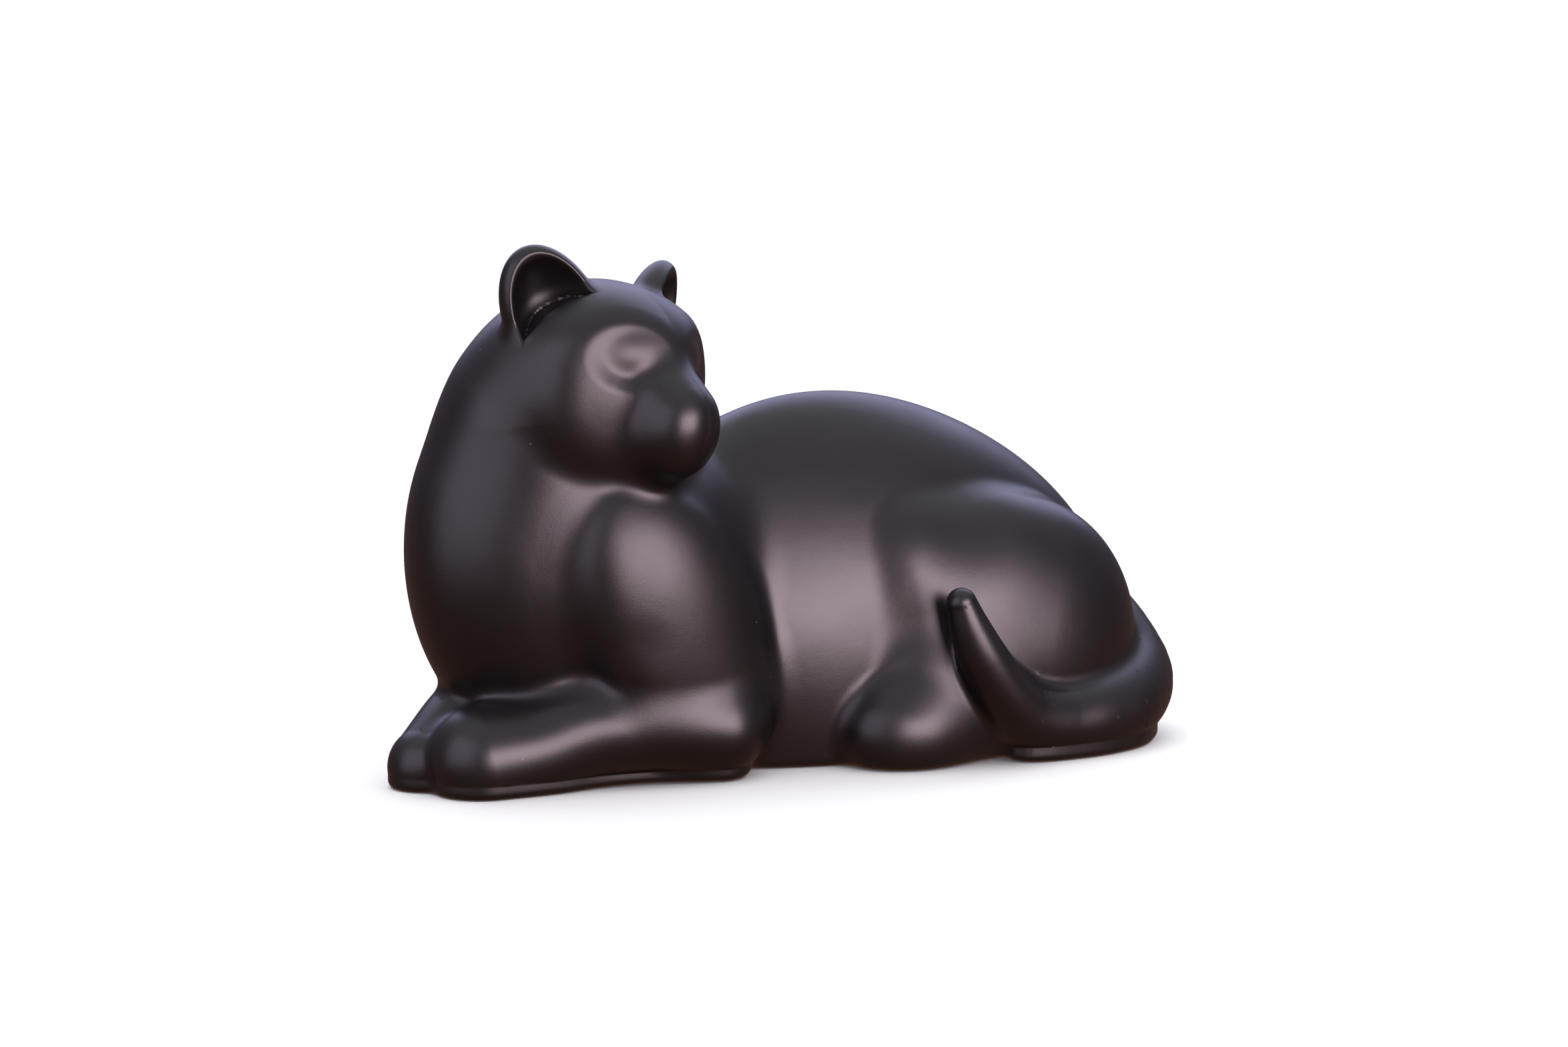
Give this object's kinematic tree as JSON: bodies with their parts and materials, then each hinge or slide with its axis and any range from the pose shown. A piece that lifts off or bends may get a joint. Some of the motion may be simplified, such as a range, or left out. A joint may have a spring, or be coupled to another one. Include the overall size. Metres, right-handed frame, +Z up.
{
  "type": "cat figurine",
  "caption": "Hollow glazed ceramic figurine of a lying cat looking over its left shoulder, tail curled up over the haunch; stands on a flat base.",
  "frame": {"origin": "on the underside of the flat base, in the closing slab, below the front of the back", "axes": "+Z up, the cat's chest and forepaws point along -X, the rump along +X, the left side with the tail along -Y"},
  "size_m": [0.305, 0.1409, 0.1851],
  "materials": {
    "black_glaze": "satin",
    "bare_clay": "matte"
  },
  "bodies": {
    "root": {"torso_casting": "black_glaze", "head_casting": "black_glaze", "left_ear": "black_glaze", "right_ear": "black_glaze", "left_foreleg": "black_glaze", "right_foreleg": "black_glaze", "left_hind_paw": "black_glaze", "right_hind_paw": "black_glaze", "tail": "black_glaze", "base_slab": "bare_clay"}
  },
  "joints": []
}
